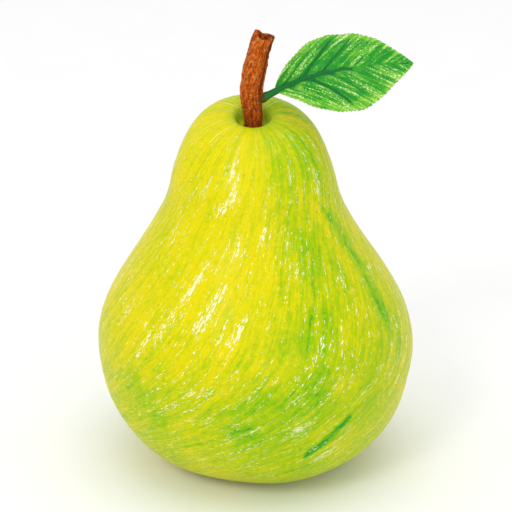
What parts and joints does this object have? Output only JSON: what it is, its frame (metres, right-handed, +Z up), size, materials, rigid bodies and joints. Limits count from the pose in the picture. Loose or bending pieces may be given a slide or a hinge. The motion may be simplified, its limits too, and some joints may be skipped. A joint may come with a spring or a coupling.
{
  "type": "pear",
  "caption": "Fresh pear standing upright on the ring around its calyx basin, with a woody stem, a leaf on the stem and the dried flower remains underneath.",
  "frame": {"origin": "on the fruit's axis, in the plane of the flat ring that it rests on", "axes": "+Z up along the fruit's axis, from the calyx to the stem; +X towards the leaf's tip; -Y is the side that the leaf's upper face leans to"},
  "size_m": [0.0796, 0.0788, 0.1117],
  "materials": {
    "pear_skin": "waxy yellow-green skin with pale lenticels",
    "woody_stem": "rough orange-brown bark",
    "green_leaf": "satin green leaf with dark veins",
    "dried_flower": "dry dark brown"
  },
  "bodies": {
    "root": {"fruit": "pear_skin", "stem": "woody_stem", "leaf": "green_leaf", "floral_tube": "dried_flower", "dried_stamens": "dried_flower", "sepal_1": "dried_flower", "sepal_2": "dried_flower", "sepal_3": "dried_flower", "sepal_4": "dried_flower", "sepal_5": "dried_flower"}
  },
  "joints": []
}
